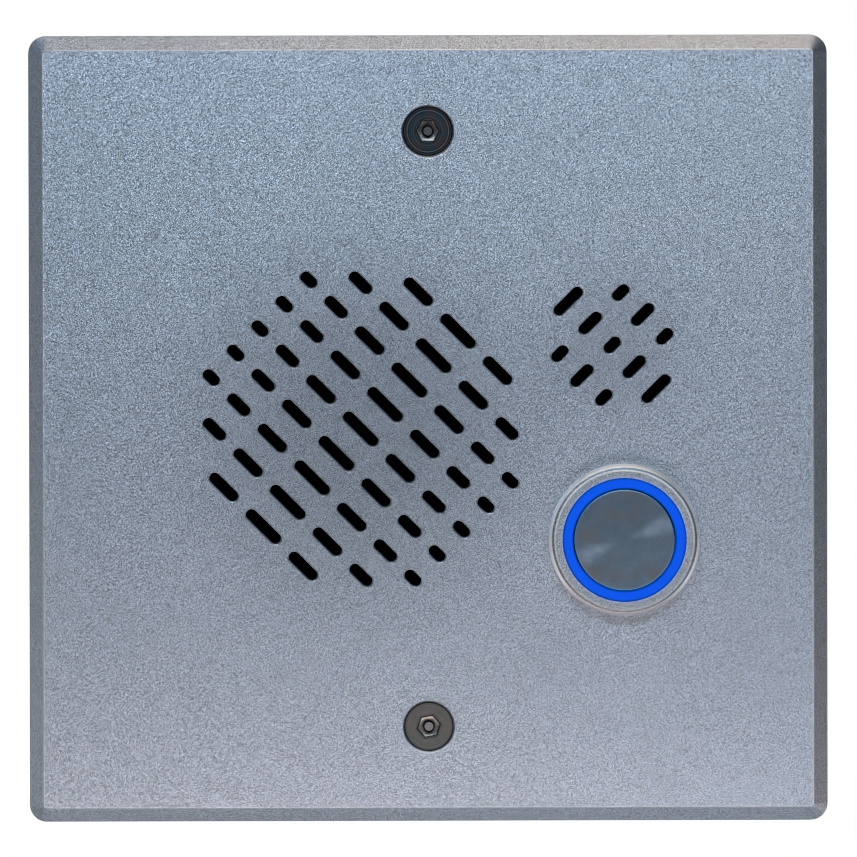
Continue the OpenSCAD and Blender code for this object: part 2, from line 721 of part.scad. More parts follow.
module button_cap() color("slategray") button_frame() {
    rotate_extrude() polygon([[0, cap_front], [cap_r - cap_edge, cap_front], [cap_r, cap_front - cap_edge],
        [cap_r, cap_back], [2.5 + fit_gap, cap_back], [2.5 + fit_gap, cap_back + 1.6], [0, cap_back + 1.6]]);
}

// Plunger: spigot in the cap, seal groove, stop collar and a nose that carries the contact bridge
module button_stem() color("ivory") button_frame() {
    stem_r = guide_r - slide_gap;
    groove = [led_seat - 1, led_seat - 2.4, stem_r - 0.8];
    nose = bridge_back + bridge_t;
    rotate_extrude() polygon([[0, cap_back + 1.5], [2.5, cap_back + 1.5], [2.5, cap_back], [stem_r, cap_back],
        [stem_r, groove[0]], [groove[2], groove[0]], [groove[2], groove[1]], [stem_r, groove[1]],
        [stem_r, guide_back], [chamber_r - 0.6, guide_back], [chamber_r - 0.6, guide_back - collar_t],
        [3, guide_back - collar_t], [3, nose], [1.5, nose], [1.5, bridge_back - 0.25],
        [0, bridge_back - 0.25]]);
}

module button_stem_seal() color("black") button_frame()
    ring(guide_r - fit_gap, guide_r - slide_gap - 0.8 + fit_gap, led_seat - 2.3, led_seat - 1.1);

module button_contact_bridge() color("gold") button_frame() rotate(terminal_turn) difference() {
    block([2 * contact_r + 2.4, 5], bridge_back, bridge_back + bridge_t);
    disc(1.5 + fit_gap, bridge_back - cut, bridge_back + bridge_t + cut);
}

// Direction and frame helpers for a tube swept along points
function unit(v) = v / norm(v);
function tangent(path, i) = unit(path[min(i + 1, len(path) - 1)] - path[max(i - 1, 0)]);

// Tube of equal sides swept along points; side_dir is never parallel to the path
module tube(path, r, sides, side_dir) {
    points = [for (i = [0:len(path) - 1])
        let (t = tangent(path, i), a = unit(cross(t, side_dir)), b = cross(t, a))
        for (k = [0:sides - 1]) path[i] + r * (a * cos(360 * k / sides) + b * sin(360 * k / sides))];
    last = (len(path) - 1) * sides;
    faces = concat([[for (k = [0:sides - 1]) k]], [[for (k = [sides - 1:-1:0]) last + k]],
        [for (i = [0:len(path) - 2], k = [0:sides - 1], h = [0, 1]) let (n = (k + 1) % sides, a = i * sides)
            h == 0 ? [a + k, a + sides + k, a + sides + n] : [a + k, a + sides + n, a + n]]);
    polyhedron(points, faces);
}

// Return spring between the collar and the switch base
module button_spring() color("silver") button_frame() {
    high = guide_back - collar_t - spring_wire / 2 - spring_ends;
    low = base_top + spring_wire / 2 + spring_ends;
    per_turn = 16;
    steps = spring_turns * per_turn;
    path = [for (i = [0:steps]) let (a = 360 * i / per_turn)
        [spring_r * cos(a), spring_r * sin(a), low + (high - low) * i / steps]];
    tube(path, spring_wire / 2, 6, [0, 0, 1]);
}

// Round places of the switch terminals: two contacts, then two lamp feeds
contact_places = [for (s = [-1, 1]) s * contact_r * [cos(terminal_turn), sin(terminal_turn)]];
lamp_places = [for (s = [-1, 1]) s * led_blade_r * [-sin(terminal_turn), cos(terminal_turn)]];

module button_switch_base() color("black") button_frame() difference() {
    rotate_extrude() polygon([[0, base_top], [chamber_r - fit_gap, base_top],
        [chamber_r - fit_gap, barrel_back], [barrel_r - 0.3, barrel_back],
        [barrel_r - 0.3, barrel_back - base_flange_t], [0, barrel_back - base_flange_t]]);
    at_places(concat(contact_places, lamp_places)) rotate(terminal_turn)
        block([0.6, 2.9], blade_back, base_top + cut);
}

module button_terminals() color("gold") button_frame() {
    at_places(contact_places) rotate(terminal_turn) {
        block([0.5, 2.8], blade_back, base_top);
        disc(1.2, base_top, base_top + contact_h);
    }
    at_places(lamp_places) rotate(terminal_turn) block([0.5, 2.8], blade_back, base_top + 0.4);
}

module front_standoffs() color("silver") wall_frame() at_places(standoff_places) difference() {
    union() {
        hexagon(standoff_af, board_front, plate_back, 30);
        disc(m3_r, plate_back - cut, plate_back + spigot_l);
    }
    disc(m3_r + fit_gap, board_front - cut, board_front + standoff_thread_l);
}

module circuit_board() color("darkgreen") wall_frame() layer(board_back, board_front) difference() {
    rounded_rect([board_w, board_h], 2);
    at_places(standoff_places) circle(m3_r + slide_gap);
}

module rear_standoffs() color("silver") wall_frame() at_places(standoff_places) difference() {
    union() {
        hexagon(standoff_af, can_floor, board_back, 30);
        disc(m3_r, board_back - cut, board_front + standoff_stud_l);
    }
    disc(m3_r + fit_gap, can_floor - cut, can_floor + standoff_thread_l);
}

// Sheet-metal can, open towards the plate
module rear_can() color("silver") wall_frame() difference() {
    rotate([180, 0, 0]) translate([0, 0, can_rim_gap - plate_back])
        bevelled_slab([can_w, can_h], plate_back - can_rim_gap - can_back, can_r, can_wall * 0.8);
    layer(can_floor, plate_back)
        rounded_rect([can_w, can_h] - 2 * [can_wall, can_wall], can_r - can_wall / 2);
    low = can_back - cut;
    high = can_floor + cut;
    at_places(standoff_places) disc(m3_r + slide_gap, low, high);
    at_places([jack_place]) block([jack_size[0] + 0.6, jack_size[1] + 0.6], low, high);
    at_places([terminal_place]) block([header_size[0] + 0.8, plug_size[1] + 1.6], low, high);
    at_places(led_places) disc(led_r + slide_gap, low, high);
    at_places([reset_place]) disc(reset_r, low, high);
    for (i = [0:vent_rows - 1])
        translate([vent_place[0], vent_place[1] + (i - (vent_rows - 1) / 2) * vent_pitch, 0])
        layer(low, high) slot_shape(vent_size[0], vent_size[1]);
}

module can_screws() color("silver") wall_frame() at_places(standoff_places)
    translate([0, 0, can_back]) pan_screw(m3_r, 2.75, 2, 6);

// Frame of a part on the back of the board: z runs backwards from the board
module behind_board(place) wall_frame() translate([place[0], place[1], board_back])
    mirror([0, 0, 1]) children();

module jack_shell() color("silver") behind_board(jack_place) layer(0, jack_size[2]) difference() {
    square([jack_size[0], jack_size[1]], center = true);
    square([jack_size[0], jack_size[1]] - 2 * [jack_shell_t, jack_shell_t], center = true);
}

// Socket block with the plug cavity and its latch keyway
module jack_insert() color("black") behind_board(jack_place) difference() {
    edge = 2 * (jack_shell_t + fit_gap);
    block([jack_size[0] - edge, jack_size[1] - edge], 0, jack_size[2] - 0.4);
    translate([0, jack_mouth_y, 0]) layer(jack_size[2] - jack_depth, jack_size[2] + cut) {
        square(jack_mouth, center = true);
        translate([0, (jack_mouth[1] + jack_latch[0][1]) / 2]) square(jack_latch[0], center = true);
        translate([0, jack_mouth[1] / 2 + jack_latch[0][1] + jack_latch[1][1] / 2])
            square(jack_latch[1], center = true);
    }
}

// Eight sprung wires that slope into the plug cavity
module jack_contacts() color("gold") behind_board(jack_place) {
    wall_y = jack_mouth_y - jack_mouth[1] / 2 + fit_gap;
    low = jack_size[2] - jack_depth + 0.5;
    for (i = [0:7]) translate([(i - 3.5) * 1.02, 0, 0])
        rotate([90, 0, 90]) linear_extrude(0.45, center = true)
        polygon([[wall_y, low + 7], [wall_y + 0.35, low + 7.4], [wall_y + 1.8, low + 1],
            [wall_y + 1.8, low], [wall_y + 1.4, low], [wall_y, low + 6.4]]);
}

module terminal_header() color("seagreen") behind_board(terminal_place) difference() {
    block(header_size, 0, header_size[2]);
    block([header_size[0], header_size[1]] - 2 * [header_wall, header_wall], 1.6, header_size[2] + cut);
}

// Plug half of the terminal block: a tongue in the header and a body with the wire mouths
module terminal_plug() color("seagreen") behind_board(terminal_place) {
    low = header_size[2];
    high = low + plug_size[2];
    difference() {
        union() {
            block([terminal_w - 0.4, header_size[1] - 2 * header_wall - 0.3], 2.4, low + cut);
            block([plug_size[0], plug_size[1]], low, high);
        }
        for (i = [0:terminal_ways - 1]) translate([(i - (terminal_ways - 1) / 2) * terminal_pitch, 0, 0]) {
            translate([0, 2.2, 0]) block([wire_hole[0], wire_hole[1]], high - wire_hole[2], high + cut);
            translate([0, -2.6, 0]) disc(1.5, high - 2.4, high + cut);
        }
    }
}

module terminal_screws() color("silver") behind_board(terminal_place)
    for (i = [0:terminal_ways - 1]) translate([(i - (terminal_ways - 1) / 2) * terminal_pitch, -2.6, 0]) {
        seat = header_size[2] + plug_size[2] - 2.4;
        difference() {
            disc(1.5 - fit_gap, seat, seat + 1.6);
            rotate(25) block([4, 0.5], seat + 0.9, seat + 1.6 + cut);
        }
    }

// Ferrite transformer: a bobbin block clasped by two core halves
module power_transformer() color("darkkhaki") behind_board(transformer_place) {
    block(bobbin_size, 0, bobbin_size[2]);
    for (s = [-1, 1]) translate([0, s * (bobbin_size[1] + core_size[1]) / 2, 0])
        block(core_size, core_levels[0], core_levels[1]);
}

// Round capacitors in shrunk sleeves, each with a rolled neck near the board
module capacitors() color("darkslateblue") for (p = capacitor_places) behind_board(p)
    rotate_extrude() polygon([[0, 0], [capacitor_r, 0], [capacitor_r, 2 * sleeve_roll],
        [capacitor_r - sleeve_roll, 3 * sleeve_roll], [capacitor_r, 4 * sleeve_roll],
        [capacitor_r, capacitor_h - sleeve_roll], [capacitor_r - sleeve_roll, capacitor_h],
        [0, capacitor_h]]);

module relay() color("royalblue") behind_board(relay_place) block(relay_size, 0, relay_size[2]);

module circuit_chips() color("black") for (i = [0:len(chip_places) - 1])
    behind_board(chip_places[i]) block(chip_sizes[i], 0, chip_sizes[i][2]);

module status_lights() color("palegreen") for (p = led_places) behind_board(p) {
    disc(led_r, 0, can_floor_clear + can_wall / 2);
    disc(led_foot[0], 0, led_foot[1]);
}

module reset_switch() color("black") behind_board(reset_place) difference() {
    block(reset_base, 0, reset_base[2]);
    disc(reset_r + slide_gap, reset_base[2] - reset_well, reset_base[2] + cut);
}

module reset_plunger() color("saddlebrown") behind_board(reset_place)
    disc(reset_r, reset_base[2] - reset_well + reset_travel + fit_gap, reset_base[2] + reset_l);

// Small board sockets and the plugs on the inner leads: place and number of ways
lead_ends = [[speaker_plug, 2], [mic_plug, 2], [button_plug, 4]];
function plug_size_y(ways) = (ways - 1) * plug_pitch + 3.6;

module lead_sockets() color("ivory") wall_frame() for (e = lead_ends) at_places([e[0]])
    block([plug_d, plug_size_y(e[1])], board_front, board_front + plug_base_h);

module lead_plugs() color("white") wall_frame() for (e = lead_ends) at_places([e[0]])
    block([plug_d - 1, plug_size_y(e[1]) - 1], board_front + plug_base_h, board_front + plug_h);

// Points of a lead that leaves straight backwards and comes down straight on its plug
lead_stub = [0, 0, 0.6];
function lead_path(from, to, leave, arrive) = let (p = from - lead_stub, q = to + lead_stub,
    a = p - [0, 0, leave], b = q + [0, 0, arrive]) concat([from],
    [for (i = [0:wire_rings]) let (t = i / wire_rings, s = 1 - t)
        s * s * s * p + 3 * s * s * t * a + 3 * s * t * t * b + t * t * t * q], [to]);
function plug_pin(plug, ways, i) =
    [plug[0], plug[1] + ((ways - 1) / 2 - i) * plug_pitch, board_front + plug_h];

module lead(from, to, leave, arrive)
    tube(lead_path(from, to, leave, arrive), wire_d / 2, wire_sides, [0, 1, 0.02]);

module speaker_leads() color("red") wall_frame() for (i = [0, 1])
    lead([tag_x, tag_places[i], rim_back - tag_board_t - tag_size[2]], plug_pin(speaker_plug, 2, i), 5, 5);

module microphone_leads() color("yellow") wall_frame() for (i = [0, 1])
    lead([mic_x, mic_y + mic_pin_places[i], boot_back - capsule_pin_l], plug_pin(mic_plug, 2, i), 5, 5);

module button_leads() color("orange") wall_frame() {
    blades = [lamp_places[1], contact_places[1], contact_places[0], lamp_places[0]];
    for (i = [0:3]) lead([button_x + blades[i][0], button_y + blades[i][1], plate_front + blade_back],
        plug_pin(button_plug, 4, i), 4.2, 7);
}

faceplate();
wall_seal();
mounting_bracket();
face_screws();
speaker_mesh();
speaker_foam_ring();
speaker_frame();
speaker_surround();
speaker_cone();
speaker_dust_cap();
speaker_voice_coil();
speaker_spider();
speaker_top_plate();
speaker_magnet();
speaker_yoke();
speaker_tag_board();
speaker_tags();
speaker_screws();
microphone_mesh();
microphone_boot();
microphone_capsule();
microphone_strap();
microphone_screw();
button_housing();
button_panel_seal();
button_washer();
button_nut();
button_light_ring();
button_led_board();
button_leds();
button_cap();
button_stem();
button_stem_seal();
button_contact_bridge();
button_spring();
button_switch_base();
button_terminals();
front_standoffs();
circuit_board();
rear_standoffs();
rear_can();
can_screws();
jack_shell();
jack_insert();
jack_contacts();
terminal_header();
terminal_plug();
terminal_screws();
power_transformer();
capacitors();
relay();
circuit_chips();
status_lights();
reset_switch();
reset_plunger();
lead_sockets();
lead_plugs();
speaker_leads();
microphone_leads();
button_leads();
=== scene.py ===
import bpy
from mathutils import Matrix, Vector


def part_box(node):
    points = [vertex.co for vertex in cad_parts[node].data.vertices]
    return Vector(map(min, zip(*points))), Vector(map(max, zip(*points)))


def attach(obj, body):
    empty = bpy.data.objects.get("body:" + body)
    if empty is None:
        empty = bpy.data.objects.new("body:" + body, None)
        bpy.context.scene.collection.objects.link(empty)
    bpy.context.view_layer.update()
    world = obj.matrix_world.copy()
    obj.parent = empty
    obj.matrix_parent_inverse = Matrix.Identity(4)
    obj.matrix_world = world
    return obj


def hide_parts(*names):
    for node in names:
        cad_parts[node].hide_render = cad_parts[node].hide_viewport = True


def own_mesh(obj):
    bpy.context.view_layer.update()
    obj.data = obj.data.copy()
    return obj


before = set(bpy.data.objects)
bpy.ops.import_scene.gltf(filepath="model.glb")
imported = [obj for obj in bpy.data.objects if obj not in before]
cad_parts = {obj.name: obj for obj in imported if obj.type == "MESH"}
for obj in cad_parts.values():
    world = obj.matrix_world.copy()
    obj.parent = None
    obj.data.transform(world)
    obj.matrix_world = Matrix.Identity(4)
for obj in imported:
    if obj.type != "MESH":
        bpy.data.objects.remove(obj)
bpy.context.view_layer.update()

import math

import bpy
import numpy as np
from mathutils import Quaternion, Vector

# Camera
# The plate is seen almost square on through a long lens, from a little above and a little to the
# left of its middle, so its edges stay parallel.
MM = 0.001
plate_low, plate_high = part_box("faceplate")
face_middle = Vector(((plate_low.x + plate_high.x) / 2, plate_low.y, (plate_low.z + plate_high.z) / 2))
frame_width = 124.28 * MM
camera_distance = 4.0
camera_azimuth, camera_elevation, camera_roll = map(math.radians, (-0.73, 2.3, -0.11))
aim_offset = Vector((0.02, 0, 0.07)) * MM
backwards = Vector((math.sin(camera_azimuth) * math.cos(camera_elevation),
                    -math.cos(camera_azimuth) * math.cos(camera_elevation), math.sin(camera_elevation)))
camera_data = bpy.data.cameras.new("camera")
camera_data.lens = camera_data.sensor_width * camera_distance / frame_width
camera_data.clip_end = 100
camera = bpy.data.objects.new("camera", camera_data)
camera.location = face_middle + aim_offset + backwards * camera_distance
camera.rotation_mode = "QUATERNION"
camera.rotation_quaternion = ((-backwards).to_track_quat("-Z", "Y")
                              @ Quaternion((0, 0, 1), camera_roll))
bpy.context.scene.collection.objects.link(camera)
bpy.context.scene.camera = camera
bpy.context.scene.cycles.filter_width = 1.0
bpy.context.scene.view_settings.view_transform = "Standard"


# Studio
# Soft light from all round, one colour for each side of the room, and softboxes close to the plate. The
# pale floor lies well below. Floor and room look white to the camera, and what lies behind the object
# looks white in metal and glass too.
class Shade:
    """A socket in a node tree. Arithmetic on it adds Math nodes; node() adds any other node."""

    def __init__(self, tree, made=None, out=0):
        self.tree = tree
        self.made = made
        self.socket = made.outputs[out] if made and made.outputs else None

    def node(self, kind, settings=None, values=None, out=0):
        """Adds a node of a type: first its settings, then the values or links of its sockets."""
        made = self.tree.nodes.new(kind)
        for key, value in (settings or {}).items():
            setattr(made, key, value)
        for key, value in (values or {}).items():
            if isinstance(value, Shade):
                self.tree.links.new(value.socket, made.inputs[key])
            else:
                made.inputs[key].default_value = value
        return Shade(self.tree, made, out)

    def output(self, name):
        """Another output of the same node."""
        return Shade(self.tree, self.made, name)

    def math(self, operation, *values):
        """A Math node on plain numbers and sockets."""
        return self.node("ShaderNodeMath", {"operation": operation}, dict(enumerate(values)))

    def __add__(self, other):
        return self.math("ADD", self, other)

    __radd__ = __add__

    def __sub__(self, other):
        return self.math("SUBTRACT", self, other)

    def __rsub__(self, other):
        return self.math("SUBTRACT", other, self)

    def __mul__(self, other):
        return self.math("MULTIPLY", self, other)

    __rmul__ = __mul__

    def __truediv__(self, other):
        return self.math("DIVIDE", self, other)

    def __rtruediv__(self, other):
        return self.math("DIVIDE", other, self)

    def __pow__(self, other):
        return self.math("POWER", self, other)

    def __abs__(self):
        return self.math("ABSOLUTE", self)

    def clip(self, low, high):
        """0 up to low, 1 from high on, smooth between."""
        return self.node("ShaderNodeMapRange", {"interpolation_type": "SMOOTHSTEP"},
                         {"Value": self, "From Min": low, "From Max": high})

    def mix(self, factor, first, second, blend="MIX"):
        """A colour between two colours."""
        return self.node("ShaderNodeMix", {"data_type": "RGBA", "blend_type": blend},
                         {0: factor, 6: first, 7: second}, 2)


def shown(shade, behind):
    """1 for what the camera sees, and for what metal or glass shows of the surroundings behind the object."""
    ray = shade.node("ShaderNodeLightPath", out="Is Camera Ray")
    mirrored = ray.output("Is Glossy Ray") + ray.output("Is Transmission Ray")
    return shade.math("MAXIMUM", ray, mirrored * behind)


white, black = (1.0, 1.0, 1.0, 1.0), (0.0, 0.0, 0.0, 1.0)
room_sides = {
    "left": (0.24, 0.27, 0.31, 1.0), "right": black,
    "front": (0.03, 0.03, 0.03, 1.0), "back": black,
    "down": (0.10, 0.10, 0.10, 1.0), "up": (0.10, 0.10, 0.10, 1.0),
}
backdrop_from, mirrored_from = (0.6, 0.95), (0.9, 1.0)
softboxes = {
    "high_softbox": ((0.0, -0.25, 0.25), (0.30, 0.12), (0.71, 0.86, 1.0), 1.416),
    "low_softbox": ((0.0, -0.10, -0.12), (0.20, 0.05), (1.0, 0.85, 0.82), 0.160),
    "low_right_softbox": ((0.15, -0.16, -0.15), (0.08, 0.08), (0.52, 0.77, 1.0), 0.084),
    "right_softbox": ((0.12, -0.22, 0.05), (0.08, 0.12), (1.0, 0.78, 0.72), 0.024),
    "left_strip": ((-0.18, -0.02, -0.06), (0.08, 0.08), (1.0, 0.90, 0.84), 0.0105),
    "right_strip": ((0.18, -0.02, -0.10), (0.08, 0.08), (1.0, 0.78, 0.66), 0.022),
    "overhead_strip": ((0.045, -0.03, 0.30), (0.45, 0.12), (1.0, 0.65, 0.36), 0.226),
}

# The sides' colours are blended by the squares of a direction's three parts. A white backdrop begins
# where the part along Y, towards the back, passes the values of backdrop_from.
world = bpy.data.worlds.new("studio")
world.use_nodes = True
world.node_tree.nodes.clear()
room = Shade(world.node_tree)
towards = room.node("ShaderNodeTexCoord", out="Generated")
parts = room.node("ShaderNodeSeparateXYZ", {}, {0: towards}, "X")
glow = black
for axis, minus, plus in (("X", "left", "right"), ("Y", "front", "back"), ("Z", "down", "up")):
    part = parts.output(axis)
    side = room.mix(room.math("GREATER_THAN", part, 0.0), room_sides[minus], room_sides[plus])
    share = part * part
    share = room.node("ShaderNodeCombineColor", {}, {0: share, 1: share, 2: share})
    glow = room.mix(1.0, glow, room.mix(1.0, side, share, "MULTIPLY"), "ADD")
glow = room.mix(parts.output("Y").clip(*backdrop_from), glow, white)
glow = room.mix(shown(room, parts.output("Y").clip(*mirrored_from)), glow, white)
light = room.node("ShaderNodeBackground", {}, {"Color": glow, "Strength": 1.0})
room.node("ShaderNodeOutputWorld", {}, {"Surface": light})
bpy.context.scene.world = world

for name, (place, size, colour, watts) in softboxes.items():
    lamp_data = bpy.data.lights.new(name, "AREA")
    lamp_data.shape = "RECTANGLE"
    lamp_data.size, lamp_data.size_y = size
    lamp_data.color, lamp_data.energy = colour, watts
    lamp = bpy.data.objects.new(name, lamp_data)
    lamp.location = place
    lamp.rotation_mode = "QUATERNION"
    lamp.rotation_quaternion = (face_middle - Vector(place)).to_track_quat("-Z", "Y")
    lamp.visible_camera = False
    bpy.context.scene.collection.objects.link(lamp)


def put_mesh(name, points, faces):
    """A mesh object at the origin from arrays of points in metres and of face corners."""
    mesh = bpy.data.meshes.new(name)
    mesh.from_pydata(points.tolist(), [], faces.tolist())
    mesh.update()
    piece = bpy.data.objects.new(name, mesh)
    bpy.context.scene.collection.objects.link(piece)
    return piece


def finish(name):
    """A new material with an empty tree, and a shade to build in it."""
    material = bpy.data.materials.new(name)
    material.use_nodes = True
    material.node_tree.nodes.clear()
    return material, Shade(material.node_tree)


def surface(shade, **inputs):
    """Ends a material: a Principled shader with these inputs; an underscore stands for a space."""
    body = shade.node("ShaderNodeBsdfPrincipled", {}, {k.replace("_", " "): v for k, v in inputs.items()})
    shade.node("ShaderNodeOutputMaterial", {}, {"Surface": body})


def millimetres(shade, middle=(0, 0, 0)):
    """Object coordinates in millimetres, counted from a middle given in metres."""
    place = shade.node("ShaderNodeTexCoord", out="Object")
    return shade.node("ShaderNodeMapping", {"vector_type": "POINT"},
                      {"Vector": place, "Location": [-1000 * c for c in middle], "Scale": (1000,) * 3})


def noise(shade, place, scale, detail=2.0):
    """Soft random values from 0 to 1; scale is in lumps per millimetre."""
    return shade.node("ShaderNodeTexNoise", {}, {"Vector": place, "Scale": scale, "Detail": detail}, "Fac")


floor_half, floor_level = 4.0, -0.35
floor_dull, floor_pale = (0.84, 0.84, 0.84, 1), (0.88, 0.88, 0.88, 1)
floor_behind = (300.0, 900.0)
floor_corners = np.array([[-1, -1, 0], [1, -1, 0], [1, 1, 0], [-1, 1, 0]]) * floor_half
floor = put_mesh("floor", floor_corners + np.array([0, 0, floor_level]), np.array([[0, 1, 2, 3]]))
floor_paint, shade = finish("floor_paint")
place = millimetres(shade)
paint = shade.mix(noise(shade, place, 0.01), floor_dull, floor_pale)
behind = shade.node("ShaderNodeSeparateXYZ", {}, {0: place}, "Y").clip(*floor_behind)
surface(shade, Base_Color=paint, Roughness=0.8, Specular_IOR_Level=0.1, Emission_Strength=1.0,
        Emission_Color=shade.mix(shown(shade, behind), black, floor_pale))
floor.data.materials.append(floor_paint)

# Faceplate
# A thick aluminium plate with a bevelled edge, bead-blasted all over, which leaves fine dents that each
# take the light their own way. A painted highlight runs along the arris between face and bevel and on
# the lower side of each countersink's lip. Painted shade darkens the countersinks and the gap round
# each screw head, more at the upper screw, and the metal round both grilles is darker.
plate_light, plate_dark = (0.67, 0.745, 0.845, 1), (0.187, 0.213, 0.243, 1)
# The first colour on the next line is a painted highlight for the arris and the countersinks' lips; the
# second is painted shade for the countersinks.
plate_highlight, plate_shade = (0.80, 0.82, 0.85, 1), (0.05, 0.06, 0.07, 1)
dent_size, dent_tilt = 0.085, 0.31

# Here and below, a pair of sizes says where a mark begins and where it is full, in millimetres.
face_half_x, face_half_z, arris_highlight_half = 55.85, 54.95, (0.05, 0.22)
screw_half_pitch, seam_edge, sink_edge, sink_depth = 43.2, (3.50, 3.58), (3.8, 4.1), (0.03, 0.2)
lip_r, lip_wider, lip_half, lip_below = 3.80, 0.10, (0.06, 0.16), (1.8, 3.4)
grilles = [((-9.8, 0.0), (6.0, 36.0), 0.31), ((26.5, 12.1), (2.0, 16.0), 0.2)]


def dress(material, *names):
    """Gives CAD nodes a material."""
    for name in names:
        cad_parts[name].material_slots[0].material = material


def dented(shade, place, size, tilt):
    """The dents of a blasted surface, about size millimetres wide: for each a random tone from 0 to 1, and
    a normal leaned over at random by up to half of tilt along each axis."""
    dents = shade.node("ShaderNodeTexVoronoi", {}, {"Vector": place, "Scale": 1 / size}, "Color")
    lean = shade.node("ShaderNodeVectorMath", {"operation": "MULTIPLY_ADD"},
                      {0: dents, 1: (tilt,) * 3, 2: (-tilt / 2,) * 3})
    upright = shade.node("ShaderNodeNewGeometry", out="Normal")
    normal = shade.node("ShaderNodeVectorMath", {"operation": "ADD"}, {0: lean, 1: upright})
    normal = shade.node("ShaderNodeVectorMath", {"operation": "NORMALIZE"}, {0: normal})
    return shade.node("ShaderNodeSeparateColor", {}, {0: dents}, 0), normal


def from_face_screw(shade, place):
    """Millimetres to the right of and above the axis of the nearer face screw, and away from it, then how
    far a point lies behind the plate's face, and 1 at the upper screw and 0 at the lower one."""
    x = shade.node("ShaderNodeSeparateXYZ", {}, {0: place}, "X")
    z = x.output("Z")
    above = z - shade.math("SIGN", z) * screw_half_pitch
    return x, above, (x * x + above * above) ** 0.5, x.output("Y") - 1000 * plate_low.y, z.clip(-10.0, 10.0)


plate_metal, shade = finish("blasted_plate")
place = millimetres(shade)
dent_tone, dent_normal = dented(shade, place, dent_size, dent_tilt)
x, above, from_screw, deep, upper = from_face_screw(shade, place)
from_rim = shade.math("MAXIMUM", abs(x) - face_half_x, abs(x.output("Z")) - face_half_z)
arris_highlight = 1 - abs(from_rim).clip(*arris_highlight_half)
lip_highlight = 1 - abs(from_screw - lip_r - upper * lip_wider).clip(*lip_half)
countersink_shade = (1 - from_screw.clip(*sink_edge)) * deep.clip(*sink_depth)
seam_shade = 1 - from_screw.clip(*seam_edge)
colour = shade.mix(dent_tone, plate_dark, plate_light)
for (across, up), (near, far), depth in grilles:
    from_grille = ((x - across) ** 2 + (x.output("Z") - up) ** 2) ** 0.5
    colour = shade.mix((1 - from_grille.clip(near, far)) * depth, colour, black)
# A painted highlight along the arris between face and bevel.
colour = shade.mix(arris_highlight * 0.35, colour, plate_highlight)
# Painted shade in the countersinks, deepest in the gap round each head and at the upper screw.
colour = shade.mix(countersink_shade * (upper * 0.55 + seam_shade * 0.7 + 0.2), colour, plate_shade)
# A painted highlight on the lower side of each countersink's lip.
colour = shade.mix(lip_highlight * (0 - above).clip(*lip_below) * 0.7, colour, plate_highlight)
surface(shade, Base_Color=colour, Metallic=1.0, Roughness=0.41 + dent_tone * 0.10, Normal=dent_normal)
dress(plate_metal, "faceplate")

# Face screws
# Two countersunk security screws of blackened steel, faced on a lathe, which leaves rings on the head.
# The pin and the sloped floor of each socket are bare. Painted light makes the lower head and pin
# paler, and painted shade makes the upper ones darker. Painted shade also darkens the foot of each
# socket's pin and walls, the gap at each head's edge and a band just outside each socket's mouth.
lower_socket_turn = math.radians(11)
pin_edge, pin_foot, head_edge = (0.56, 0.66), (0.75, 1.05), (3.34, 3.43)
socket_depth, wall_foot, mouth_edge, mouth_fade = (0.45, 0.6), (1.28, 1.46), (1.40, 1.48), (1.5, 1.85)
# Painted light and shade: the black colours give the upper head its blackened steel in shade, and the pale
# colours on the next line give the lower head a lit copy of it.
shaded_black_cool, shaded_black_warm = (0.028, 0.046, 0.060, 1), (0.055, 0.045, 0.048, 1)
lit_pale_cool, lit_pale_warm, lit_pale_blotch = (0.140, 0.150, 0.138, 1), (0.170, 0.156, 0.150, 1), (0.11, 0.12, 0.13, 1)
ring_dark, ring_bright = (0.012, 0.014, 0.016, 1), (0.30, 0.31, 0.32, 1)
# The pin's colours are a painted pair: paler on the lower screw, as lit, and darker on the upper one, as
# shaded.
pin_lower_lit, pin_upper_shaded = (0.28, 0.29, 0.30, 1), (0.12, 0.13, 0.135, 1)
# The second colour on the next line is painted shade.
socket_bare, socket_shade = (0.30, 0.285, 0.26, 1), (0.008, 0.008, 0.009, 1)


def lathe_rings(shade, out, scale, detail):
    """Random values from 0 to 1 that change only with the distance out from an axis; scale is in rings
    per millimetre."""
    return shade.node("ShaderNodeTexNoise", {"noise_dimensions": "1D"},
                      {"W": out, "Scale": scale, "Detail": detail, "Roughness": 0.7}, "Fac")


def bump(shade, height, depth, **over):
    """A normal tilted by a height from 0 to 1 that is depth millimetres deep, over another Normal if
    one is given."""
    return shade.node("ShaderNodeBump", {},
                      {"Height": height, "Distance": depth * MM, "Strength": 1.0, **over})


screw_metal, shade = finish("blackened_screw")
place = millimetres(shade)
x, above, out, deep, upper = from_face_screw(shade, place)
rings = lathe_rings(shade, out, 4.5, 3.0)
temper, blotch = (noise(shade, place, scale).clip(0.35, 0.65) for scale in (0.5, 1.5))
# The lower head gets the painted lit colour and the upper head the painted shaded black.
lit_pale = shade.mix(blotch * 0.25, shade.mix(temper, lit_pale_cool, lit_pale_warm), lit_pale_blotch)
colour = shade.mix(upper, lit_pale, shade.mix(temper, shaded_black_cool, shaded_black_warm))
turned = upper * 0.7 + 0.3
colour = shade.mix((0.5 - rings).clip(0.0, 0.15) * turned * 0.7, colour, ring_dark)
colour = shade.mix(rings.clip(0.52, 0.66) * turned * 0.25, colour, ring_bright)
